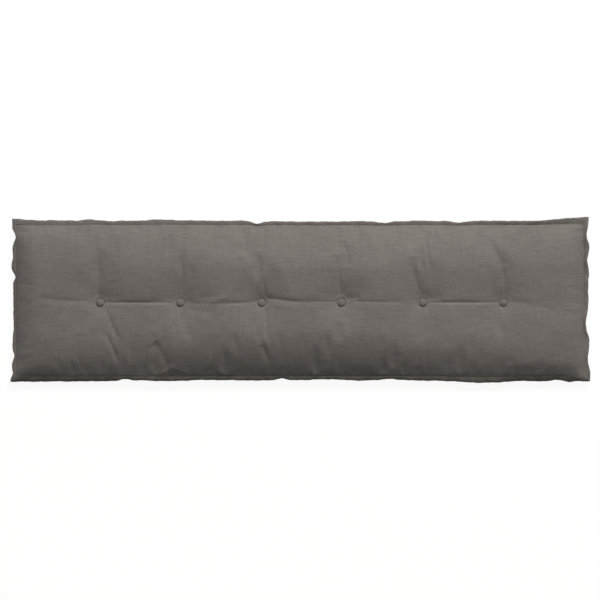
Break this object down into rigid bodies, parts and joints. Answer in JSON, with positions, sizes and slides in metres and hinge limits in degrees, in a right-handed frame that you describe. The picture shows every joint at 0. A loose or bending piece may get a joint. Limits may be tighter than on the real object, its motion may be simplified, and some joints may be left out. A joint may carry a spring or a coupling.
{
  "type": "bench back cushion",
  "caption": "Long filled back cushion for a bench, tied down along its middle by covered buttons, with a narrow flat welt round its seam.",
  "frame": {"origin": "middle of the flat underside that the cushion rests on", "axes": "+X along the cushion's length to the viewer's right, +Y towards its upper long edge, +Z out of its buttoned face"},
  "size_m": [1.8149, 0.519, 0.08],
  "materials": {
    "cover_cloth": "matt mélange weave, warm taupe grey",
    "welt_cloth": "the same weave, folded double and sewn into the seam",
    "button_cloth": "the same weave, stretched over a domed button"
  },
  "bodies": {
    "root": {"cushion_body": "cover_cloth", "welt": "welt_cloth", "button_1": "button_cloth", "button_2": "button_cloth", "button_3": "button_cloth", "button_4": "button_cloth", "button_5": "button_cloth", "button_6": "button_cloth"}
  },
  "joints": []
}
